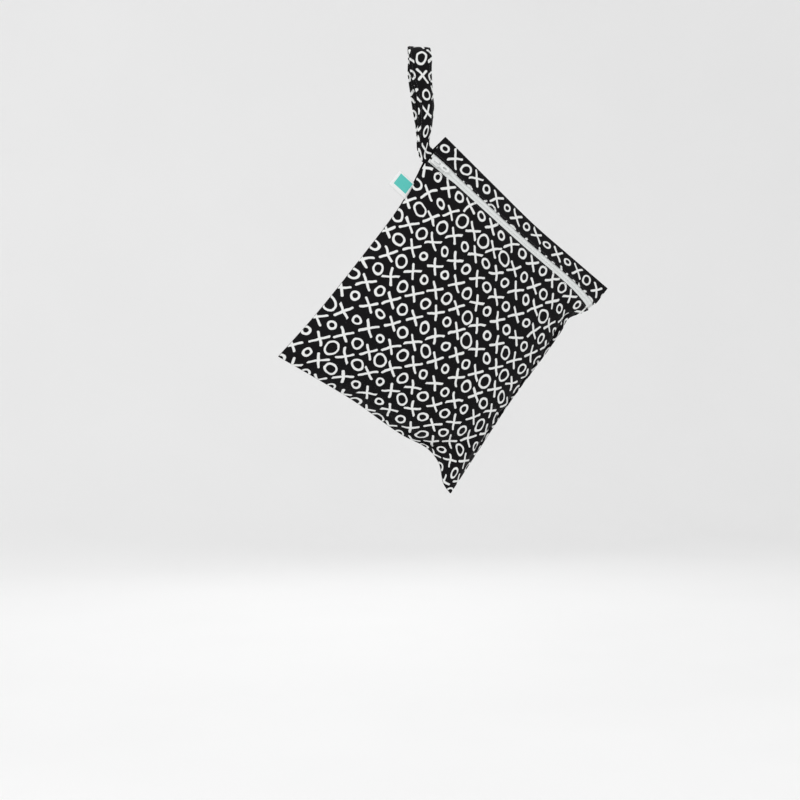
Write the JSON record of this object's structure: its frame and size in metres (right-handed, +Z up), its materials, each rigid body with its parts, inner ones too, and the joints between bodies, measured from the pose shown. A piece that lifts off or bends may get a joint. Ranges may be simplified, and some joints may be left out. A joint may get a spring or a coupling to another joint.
{
  "type": "waterproof bag",
  "caption": "Zipped flat cloth pouch with a waterproof back, swollen with its contents, hung askew by a strap loop at the zip's end; slider with pull and a folded side label.",
  "frame": {"origin": "inside top of the strap's loop, where it rests on what carries the bag", "axes": "+Z up as it hangs, +X to the right seen from the zip side, +Y from the zip side to the back"},
  "size_m": [0.4626, 0.0797, 0.5688],
  "materials": {
    "printed_cloth": "fine black knit with a waterproof film behind it, printed with white crosses and rings, soft sheen",
    "zip_tape": "pale woven tape, matt",
    "zip_coil": "pale moulded coil",
    "white_enamel": "white enamel",
    "label_satin": "white satin tape with a plain teal woven field"
  },
  "bodies": {
    "bag": {"front_panel": "printed_cloth", "back_panel": "printed_cloth", "hang_strap": "printed_cloth", "zip_tape_upper": "zip_tape", "zip_tape_lower": "zip_tape", "zip_coil": "zip_coil", "zip_slider": "white_enamel", "side_label": "label_satin"},
    "pull": {"zip_pull": "white_enamel"}
  },
  "joints": [
    {"name": "pull_swing", "type": "hinge", "parent": "bag", "child": "pull", "pos_m": [0.02503, -0.00933, -0.14296], "axis": [-0.6552, -0.0502, -0.7538], "range_deg": [0, 150]}
  ]
}
